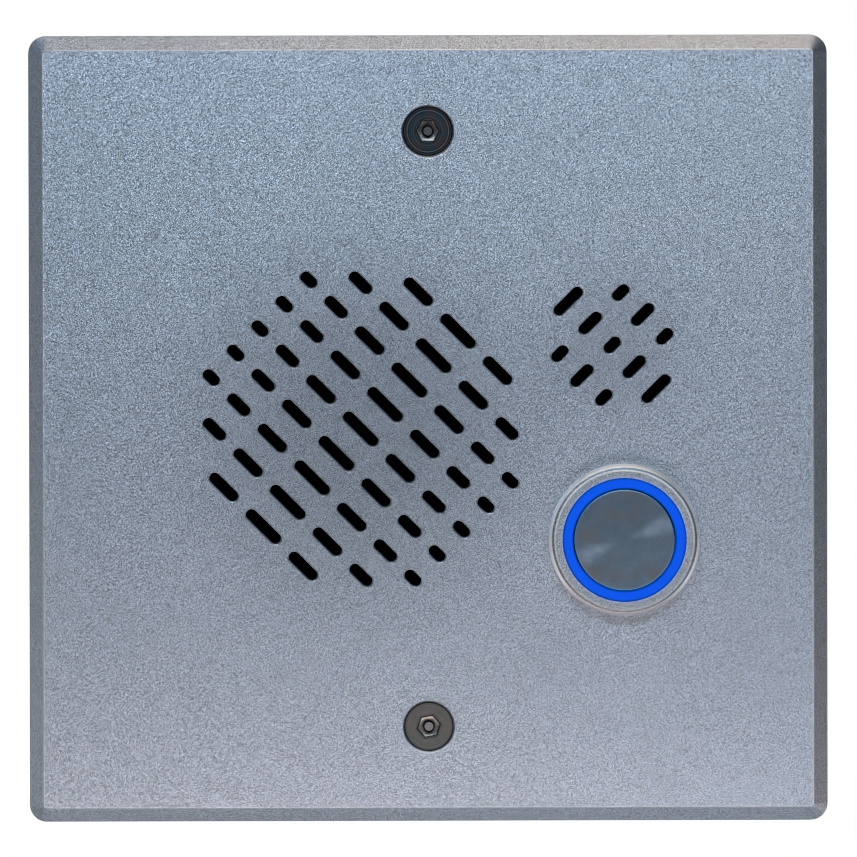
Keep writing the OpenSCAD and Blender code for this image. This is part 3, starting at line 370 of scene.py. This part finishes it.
# The pin, painted paler on the lower screw and darker on the upper one.
colour = shade.mix((1 - out.clip(*pin_edge)) * 0.8, colour, shade.mix(upper, pin_lower_lit, pin_upper_shaded))
bare = deep.clip(*socket_depth)
colour = shade.mix(bare * (blotch * 0.5 + 0.3), colour, socket_bare)
turn = (1 - upper) * lower_socket_turn
cosine, sine = (shade.math(wave, turn) for wave in ("COSINE", "SINE"))
beside, over = abs(x * cosine + above * sine), abs(above * cosine - x * sine)
from_flat = shade.math("MAXIMUM", over, beside * math.sqrt(0.75) + over * 0.5)
# Painted shade: a band just outside the socket's mouth, the foot of the pin and of the socket's walls, and
# the gap at the head's edge.
shadow = from_flat.clip(*mouth_edge) * (1 - from_flat.clip(*mouth_fade)) * 0.7
painted_shade = bare * (1 - out.clip(*pin_foot)) + bare * from_flat.clip(*wall_foot) + out.clip(*head_edge) + shadow
surface(shade, Base_Color=shade.mix(painted_shade * 0.85, colour, socket_shade), Metallic=1.0,
        Roughness=0.40 + rings * 0.15, Normal=bump(shade, rings, 0.01))
dress(screw_metal, "face_screws")

# Push button
# A turned aluminium bezel and barrel, a clear ring lit blue from below, and a steel cap faced on a
# lathe, with blue light spilt on the edges beside the ring. A painted highlight, the bow-tie that a
# turned face reflects, lightens the cap along a band; painted shade darkens its top and a painted
# highlight lines its edge. The bezel has a dark line of painted shade and painted highlights on its
# arris and rim.
# It slides on a plastic stem, which a wound spring pushes out.
button_low, button_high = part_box("button_cap")
button_axis = ((button_low.x + button_high.x) / 2, 0, (button_low.z + button_high.z) / 2)


def polar(shade, middle):
    """Millimetres to the right of and above an axis along Y through a middle, and away from it."""
    x = shade.node("ShaderNodeSeparateXYZ", {}, {0: millimetres(shade, middle)}, "X")
    z = x.output("Z")
    return x, z, (x * x + z * z) ** 0.5


# The bezel's dark groove line is painted shade; its arris line and its rim's colours are painted highlights.
groove_shade_r, arris_highlight_r, polished_and_lit_from = 10.37, 10.08, (10.42, 10.7)
bezel_spilt_r, bezel_spilt_front = (8.95, 9.4), (7.9, 8.2)
bezel_dark, bezel_light = (0.14, 0.153, 0.17, 1), (0.49, 0.53, 0.57, 1)
# The rim's colours are painted light: brightest at the sides, brighter above than below.
rim_lit_lower, rim_lit_upper, rim_lit_side = (0.42, 0.41, 0.41, 1), (0.56, 0.50, 0.46, 1), (0.97, 0.98, 1.0, 1)
# On the next line the first colour is a painted highlight, the second painted shade, and the third the ring's
# spilt light.
bezel_arris_highlight, bezel_groove_shade, bezel_spilt = (0.80, 0.78, 0.76, 1), (0.06, 0.06, 0.06, 1), (0.0, 0.045, 0.36, 1)
bezel_metal, shade = finish("bezel_metal")
place = millimetres(shade)
x, z, out = polar(shade, button_axis)
dent_tone, dent_normal = dented(shade, place, dent_size, dent_tilt)
groove_shade, arris_highlight = (1 - abs(out - r).clip(0.06, 0.2) for r in (groove_shade_r, arris_highlight_r))
polished_and_lit, upper = out.clip(*polished_and_lit_from), z.clip(-8.0, 8.0)
# The rim is painted lit, brightest at the sides and brighter at the top than at the bottom; it is also a
# little smoother.
lit_rim = shade.mix((x * x / (out * out)).clip(0.2, 0.9), shade.mix(upper, rim_lit_lower, rim_lit_upper), rim_lit_side)
colour = shade.mix(dent_tone, bezel_dark, bezel_light)
# A painted highlight along the arris, strongest at the top.
colour = shade.mix(arris_highlight * (upper * 0.4 + 0.1), colour, bezel_arris_highlight)
colour = shade.mix(polished_and_lit, colour, lit_rim)
spilt = (1 - out.clip(*bezel_spilt_r)) * (0 - x.output("Y")).clip(*bezel_spilt_front)
# A dark ring of painted shade stands in for a groove.
surface(shade, Base_Color=shade.mix(groove_shade * 0.6, colour, bezel_groove_shade), Metallic=1.0,
        Roughness=0.58 - polished_and_lit * 0.04, Normal=dent_normal, Emission_Strength=1.0,
        Emission_Color=shade.mix(spilt, black, bezel_spilt))
dress(bezel_metal, "button_housing")

# The first four sizes place a band of painted highlight, the bow-tie that a turned face reflects.
bow_tie_turn, bow_tie_half, bow_tie_from, bow_tie_fade = math.radians(21), (0.0, 0.30), (0.3, 4.5), (5.4, 7.2)
# The first pair of sizes places a painted highlight on the cap's edge.
cap_edge_highlight_r, cap_spilt_r, grain_size = (7.12, 7.24), (6.85, 7.3), 0.1
# The last colour on the next line is painted shade for the top of the cap.
cap_dark, cap_light, cap_top_shade = (0.07, 0.115, 0.16, 1), (0.235, 0.30, 0.365, 1), (0.06, 0.08, 0.10, 1)
# The second colour on the next line is the band's painted highlight.
cap_stain, cap_highlight = (0.165, 0.158, 0.15, 1), (0.40, 0.51, 0.63, 1)
# The first colour on the next line is a painted highlight for the cap's edge.
cap_edge_highlight, cap_spilt = (0.62, 0.68, 0.72, 1), (0.0, 0.035, 0.13, 1)
cap_metal, shade = finish("turned_cap")
place = millimetres(shade)
x, z, out = polar(shade, button_axis)
rings = lathe_rings(shade, out, 9.0, 4.0)
# A painted highlight in a band through the middle of the cap, stronger on the right.
across = z * math.cos(bow_tie_turn) - x * math.sin(bow_tie_turn)
bow_tie = (1 - (abs(across) / (out + 0.6)).clip(*bow_tie_half)) * out.clip(*bow_tie_from)
smear, grain = noise(shade, place, 0.45, 3.0), dented(shade, place, grain_size, 0.0)[0]
bow_tie_highlight = bow_tie * (smear.clip(0.3, 0.75) * 0.5 + 0.45)
bow_tie_highlight = bow_tie_highlight * (1 - out.clip(*bow_tie_fade) * 0.5) * (x.clip(-2.0, 2.0) * 0.25 + 0.8)
colour = shade.mix(rings * 0.3 + smear * 0.4 + grain * 0.3, cap_dark, cap_light)
# Painted shade darkens the top of the cap.
colour = shade.mix(z.clip(-4.0, 4.0) * 0.25, colour, cap_top_shade)
stain = noise(shade, place, 0.22, 1.0).clip(0.45, 0.7)
colour = shade.mix(stain * 0.6, colour, cap_stain)
# The band's painted highlight.
colour = shade.mix(bow_tie_highlight * 0.8, colour, cap_highlight)
# A painted highlight on the cap's edge.
surface(shade, Base_Color=shade.mix(out.clip(*cap_edge_highlight_r) * 0.4, colour, cap_edge_highlight), Metallic=1.0,
        Roughness=0.50, Normal=bump(shade, rings, 0.003), Emission_Strength=1.0,
        Emission_Color=shade.mix(out.clip(*cap_spilt_r), black, cap_spilt))
dress(cap_metal, "button_cap")

ring_inside, ring_outside = (7.38, 7.75), (8.58, 9.0)
ring_body, ring_body_lit = (0.0, 0.004, 0.03, 1), (0.0, 0.008, 0.06, 1)
ring_low, ring_high, ring_edge = (0.0, 0.072, 0.70, 1), (0.0, 0.088, 0.79, 1), (0.0, 0.045, 0.20, 1)
ring_glow, shade = finish("lit_ring")
x, z, out = polar(shade, button_axis)
lit = out.clip(*ring_inside) * (1 - out.clip(*ring_outside))
core = shade.mix(noise(shade, millimetres(shade), 0.25), ring_low, ring_high)
surface(shade, Base_Color=shade.mix(lit, ring_body, ring_body_lit), Roughness=0.5, Specular_IOR_Level=0.12,
        Emission_Color=shade.mix(lit, ring_edge, core), Emission_Strength=1.0)
dress(ring_glow, "button_light_ring")


def bare_metal(name, colour, rough, scale=2.0, deep=0.01, spread=0.25):
    """Bare or plated metal: a cloudy tone round a colour and fine scratches along the surface."""
    material, shade = finish(name)
    place = millimetres(shade)
    cloud, scratch = noise(shade, place, scale * 0.2), noise(shade, place, scale * 3, 4.0)
    low, high = (tuple(min(c * f, 1.0) for c in colour) for f in (1 - spread, 1 + spread))
    surface(shade, Base_Color=shade.mix(cloud * 0.6 + scratch * 0.4, (*low, 1), (*high, 1)), Metallic=1.0,
            Roughness=rough + scratch * 0.15, Normal=bump(shade, scratch, deep))
    return material


def moulded(name, colour, rough=0.45, scale=3.0, deep=0.015, spread=0.12):
    """Moulded or pressed stuff: an even colour with a slight flow mark and an orange-peel skin."""
    material, shade = finish(name)
    place = millimetres(shade)
    flow, peel = noise(shade, place, scale * 0.05), noise(shade, place, scale)
    low, high = (tuple(min(c * f, 1.0) for c in colour) for f in (1 - spread, 1 + spread))
    surface(shade, Base_Color=shade.mix(flow * 0.7 + peel * 0.3, (*low, 1), (*high, 1)),
            Roughness=rough + peel * 0.1, Normal=bump(shade, peel, deep))
    return material


def printed_board(name):
    """Green lacquer over copper tracks, which run where two cells of a square-stepped pattern meet."""
    dark, light, over_copper = (0.008, 0.075, 0.032, 1), (0.014, 0.105, 0.045, 1), (0.03, 0.20, 0.09, 1)
    material, shade = finish(name)
    place = millimetres(shade)
    near, next_near = (shade.node("ShaderNodeTexVoronoi", {"feature": feature, "distance": "MANHATTAN"},
                                  {"Vector": place, "Scale": 0.28}, "Distance") for feature in ("F1", "F2"))
    track = 1 - (next_near - near).clip(0.10, 0.14)
    lacquer = noise(shade, place, 0.2)
    colour = shade.mix(track * 0.7, shade.mix(lacquer, dark, light), over_copper)
    surface(shade, Base_Color=colour, Roughness=0.28 + lacquer * 0.1, Normal=bump(shade, track, 0.03))
    return material


bright_steel = bare_metal("bright_steel", (0.55, 0.55, 0.56), 0.28)
black_plastic = moulded("black_plastic", (0.018, 0.018, 0.02))
white_plastic = moulded("white_plastic", (0.72, 0.70, 0.64))
brass = bare_metal("brass", (0.70, 0.52, 0.22), 0.25)
soft_rubber = moulded("soft_rubber", (0.02, 0.02, 0.021), 0.6, 6.0, 0.03)
board_green = printed_board("board_green")
dress(bright_steel, "button_nut", "button_washer")
dress(white_plastic, "button_stem", "button_leds")
dress(soft_rubber, "button_stem_seal", "button_panel_seal")
dress(brass, "button_contact_bridge", "button_terminals")
dress(black_plastic, "button_switch_base")
dress(board_green, "button_led_board")


def skin(points, loop=True):
    """Quads over a grid of points whose rows are closed rings. The rows follow each other in a loop, or else
    the first and the last row, of eight points each, are closed by three quads."""
    at = np.arange(points.shape[0] * points.shape[1]).reshape(points.shape[:2])
    along, around = np.roll(at, -1, 0), np.roll(at, -1, 1)
    faces = np.stack([at, around, np.roll(along, -1, 1), along], -1)
    if not loop:
        ends = np.array([[0, 1, 2, 3], [0, 3, 4, 7], [4, 5, 6, 7]])
        faces = np.concatenate([faces[:-1].reshape(-1, 4), at[0][ends[:, ::-1]], at[-1][ends]])
    return points.reshape(-1, 3), faces.reshape(-1, 4)


def fit(name, points, faces, material, node, slot, sharp_from=math.radians(40)):
    """A piece on the fixed body that stands for a CAD node; edges sharper than an angle stay sharp."""
    piece = put_mesh(name, points, faces)
    piece.data.shade_smooth()
    piece.data.set_sharp_from_angle(angle=sharp_from)
    piece.data.materials.append(material)
    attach(piece, "intercom")
    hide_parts(node)
    return piece


def wound_spring(low, high, wire, turns, turn_steps=40):
    """A wire wound round an axis along Y. At angle a of the winding and b of the wire's section a point lies
    r + wire / 2 * cos(b) out from the axis and h + wire / 2 * sin(b) along it. The height h eases from one
    end to the other as s * s * (3 - 2 * s), so that the last turn at each end lies almost flat."""
    middle, half = (low + high) / 2, (high - low) / 2
    share = np.linspace(0, 1, turns * turn_steps + 1)[:, None]
    angle, section = 2 * np.pi * turns * share, np.arange(8) * np.pi / 4
    out = half.x + wire / 2 * (np.cos(section) - 1)
    y = (half.y - wire / 2) * (2 * share * share * (3 - 2 * share) - 1) + wire / 2 * np.sin(section)
    return np.array(middle) + np.stack([out * np.cos(angle), y, out * np.sin(angle)], -1)


spring_low, spring_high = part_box("button_spring")
spring_wire, spring_turns, button_travel = 0.7 * MM, 4, 1.6 * MM
spring = fit("return_spring", *skin(wound_spring(spring_low, spring_high, spring_wire, spring_turns), False),
             bright_steel, "button_spring", "bright_steel")
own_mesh(spring)

# Sound mesh
# Fine black woven cloth glued behind both grilles, which keeps water out and shows as black in
# the slots.
thread_pitch = 0.3
cloth_dark, cloth_light = (0.001, 0.001, 0.0012, 1), (0.006, 0.006, 0.007, 1)
mesh_cloth, shade = finish("sound_mesh")
x = shade.node("ShaderNodeSeparateXYZ", {}, {0: millimetres(shade)}, "X")
warp, weft = (shade.math("SINE", axis * (math.pi / thread_pitch)) for axis in (x, x.output("Z")))
weave = warp * warp * weft * weft
surface(shade, Base_Color=shade.mix(weave, cloth_dark, cloth_light), Roughness=0.9, Specular_IOR_Level=0.1,
        Normal=bump(shade, weave, 0.1))
dress(mesh_cloth, "speaker_mesh", "microphone_mesh")

# Speaker
# A pressed steel basket with a paper cone on a rubber roll, a copper voice coil centred by a stiff folded
# cloth disc, and a ferrite ring between two steel plates. Four screws hold it behind the plate. The folds
# are low, so that the cone's neck stays clear of them as it travels.
cone_paper = moulded("cone_paper", (0.03, 0.03, 0.032), 0.8, 5.0, 0.05, 0.4)
ferrite = moulded("ferrite", (0.05, 0.05, 0.053), 0.55, 4.0, 0.03, 0.3)
spider_cloth = moulded("spider_cloth", (0.42, 0.26, 0.07), 0.85, 4.0, 0.06, 0.3)
coil_wire = bare_metal("coil_wire", (0.75, 0.36, 0.18), 0.3, 6.0, 0.03)
tag_board = moulded("tag_board", (0.20, 0.09, 0.03), 0.6, 4.0, 0.02, 0.3)


def foam(name):
    """Closed-cell black foam: rounded cells with thin paler walls between them."""
    dark, light = (0.012, 0.012, 0.013, 1), (0.045, 0.045, 0.047, 1)
    material, shade = finish(name)
    place = millimetres(shade)
    cells = shade.node("ShaderNodeTexVoronoi", {}, {"Vector": place, "Scale": 2.6}, "Distance")
    tone = cells * 0.7 + noise(shade, place, 0.3) * 0.3
    surface(shade, Base_Color=shade.mix(tone, dark, light), Roughness=0.92, Specular_IOR_Level=0.25,
            Normal=bump(shade, cells, 0.12))
    return material


black_foam = foam("black_foam")
dress(black_foam, "speaker_foam_ring")
dress(bright_steel, "speaker_frame", "speaker_top_plate", "speaker_yoke", "speaker_screws")
dress(soft_rubber, "speaker_surround")
dress(cone_paper, "speaker_cone", "speaker_dust_cap")
dress(coil_wire, "speaker_voice_coil")
dress(ferrite, "speaker_magnet")
dress(tag_board, "speaker_tag_board")
dress(brass, "speaker_tags")


def folded_disc(low, high, bore, lit_rim, folds, rise, thick, round_steps=96, fold_steps=8):
    """A thin sheet round an axis along Y, folded into rings. Out from its bore its back lies in front of its
    seat by rise * (1 - cos(2 * pi * folds * s)) / 2, with s from 0 at the bore to 1 at its flat rim."""
    middle, outer = (low + high) / 2, (high.x - low.x) / 2
    out = np.append(np.linspace(bore, outer - lit_rim, folds * fold_steps + 1), outer)
    share = np.clip((out - bore) / (outer - lit_rim - bore), 0, 1)
    back = high.y - rise * (1 - np.cos(2 * np.pi * folds * share)) / 2
    out, y = np.concatenate([out, out[::-1]]), np.concatenate([back - thick, back[::-1]])
    angle = np.linspace(0, 2 * np.pi, round_steps, endpoint=False)[:, None]
    x, z = middle.x + out * np.cos(angle), middle.z + out * np.sin(angle)
    return np.stack([x, np.broadcast_to(y, x.shape), z], -1)


spider_low, spider_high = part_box("speaker_spider")
spider_bore, spider_rim, spider_folds, spider_rise, spider_t = 6.6 * MM, 1.4 * MM, 4, 0.3 * MM, 0.4 * MM
spider = folded_disc(spider_low, spider_high, spider_bore, spider_rim, spider_folds, spider_rise, spider_t)
fit("coil_centring_disc", *skin(spider), spider_cloth, "speaker_spider", "spider_cloth")

# Microphone
# A small metal capsule in a rubber boot behind its own grille. A folded steel strap, held by one screw,
# presses the boot against the plate.
dress(soft_rubber, "microphone_boot")
dress(bright_steel, "microphone_capsule", "microphone_strap", "microphone_screw")

# Wall seal
# A strip of closed-cell foam stuck round the back of the plate, squeezed between it and the wall, so
# that its sides swell out and its edges are round.
seal_low, seal_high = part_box("wall_seal")
strip_w, strip_corner = 3.5 * MM, 2.5 * MM


def seal_strip(low, high, width, corner, round_steps=40, corner_steps=10):
    """A strip round a rectangle. Its section is a squarish oval, |d|^5 + |y|^5 = 1, stretched to the width
    and the thickness. Each point of the section, at d outwards, goes round a rectangle that is d larger:
    a corner's middle plus its radius times the cosine and sine of an angle that turns once."""
    turn = np.linspace(0, 2 * np.pi, round_steps, endpoint=False)
    across, deep = (np.sign(f) * np.abs(f) ** (2 / 5) for f in (np.cos(turn), np.sin(turn)))
    inset = width / 2 * (1 - across)
    radius = np.maximum(corner - inset, 0.1 * corner)
    angle = np.concatenate([np.linspace(q, q + 1, corner_steps) for q in range(4)]) * np.pi / 2
    quarter = np.repeat(np.arange(4), corner_steps)
    sign_x, sign_z = np.array([1, -1, -1, 1])[quarter], np.array([1, 1, -1, -1])[quarter]
    middle, half = (low + high) / 2, (high - low) / 2
    x = np.outer(sign_x, half[0] - inset - radius) + np.outer(np.cos(angle), radius)
    z = np.outer(sign_z, half[2] - inset - radius) + np.outer(np.sin(angle), radius)
    y = np.broadcast_to(deep * half[1], x.shape)
    return middle + np.stack([x, y, z], -1)


fit("wall_seal_strip", *skin(seal_strip(np.array(seal_low), np.array(seal_high), strip_w, strip_corner)),
    black_foam, "wall_seal", "seal_foam")

# Bracket and can
# Galvanised steel sheet. The bracket is screwed to the wall box and takes the face screws in two tapped
# collars; the can covers the electronics and is held by four screws.
flake_size, flake_tilt = 4.0, 0.05
zinc_dark, zinc_light = (0.42, 0.43, 0.44, 1), (0.66, 0.67, 0.68, 1)
zinc_sheet, shade = finish("zinc_sheet")
place = millimetres(shade)
flake, flake_normal = dented(shade, place, flake_size, flake_tilt)
brushed = noise(shade, place, 3.0, 4.0)
surface(shade, Base_Color=shade.mix(flake * 0.3 + brushed * 0.7, zinc_dark, zinc_light), Metallic=1.0,
        Roughness=0.30 + flake * 0.12, Normal=bump(shade, brushed, 0.006, Normal=flake_normal))
dress(zinc_sheet, "mounting_bracket", "rear_can")
dress(bright_steel, "can_screws", "front_standoffs", "rear_standoffs")

# Circuit board and its parts
# A green board on standoffs, with a transformer, capacitors, a relay and chips soldered to it. The leads
# of speaker, microphone and button plug into its white sockets, and a red plunger works its reset switch.
dress(board_green, "circuit_board")
dress(black_plastic, "circuit_chips", "reset_switch")
dress(moulded("core_ferrite", (0.10, 0.09, 0.06), 0.55), "power_transformer")
dress(moulded("capacitor_sleeve", (0.03, 0.04, 0.12), 0.3), "capacitors")
dress(moulded("relay_case", (0.03, 0.09, 0.35), 0.35), "relay")
dress(moulded("lamp_lens", (0.25, 0.55, 0.25), 0.2), "status_lights")
dress(moulded("reset_plastic", (0.35, 0.05, 0.03), 0.4), "reset_plunger")
dress(white_plastic, "lead_sockets", "lead_plugs")
dress(moulded("red_wire", (0.45, 0.02, 0.015), 0.4), "speaker_leads")
dress(moulded("yellow_wire", (0.65, 0.42, 0.02), 0.4), "microphone_leads")
dress(moulded("grey_wire", (0.30, 0.30, 0.31), 0.4), "button_leads")

# Network socket and terminal block
# A steel-shielded socket with brass contacts in a black insert, and a green header with a plug of eight
# screw terminals. Both are soldered to the board and pass through the back of the can.
green_plastic = moulded("green_plastic", (0.02, 0.20, 0.07), 0.4)
dress(bright_steel, "jack_shell", "terminal_screws")
dress(black_plastic, "jack_insert")
dress(brass, "jack_contacts")
dress(green_plastic, "terminal_header", "terminal_plug")
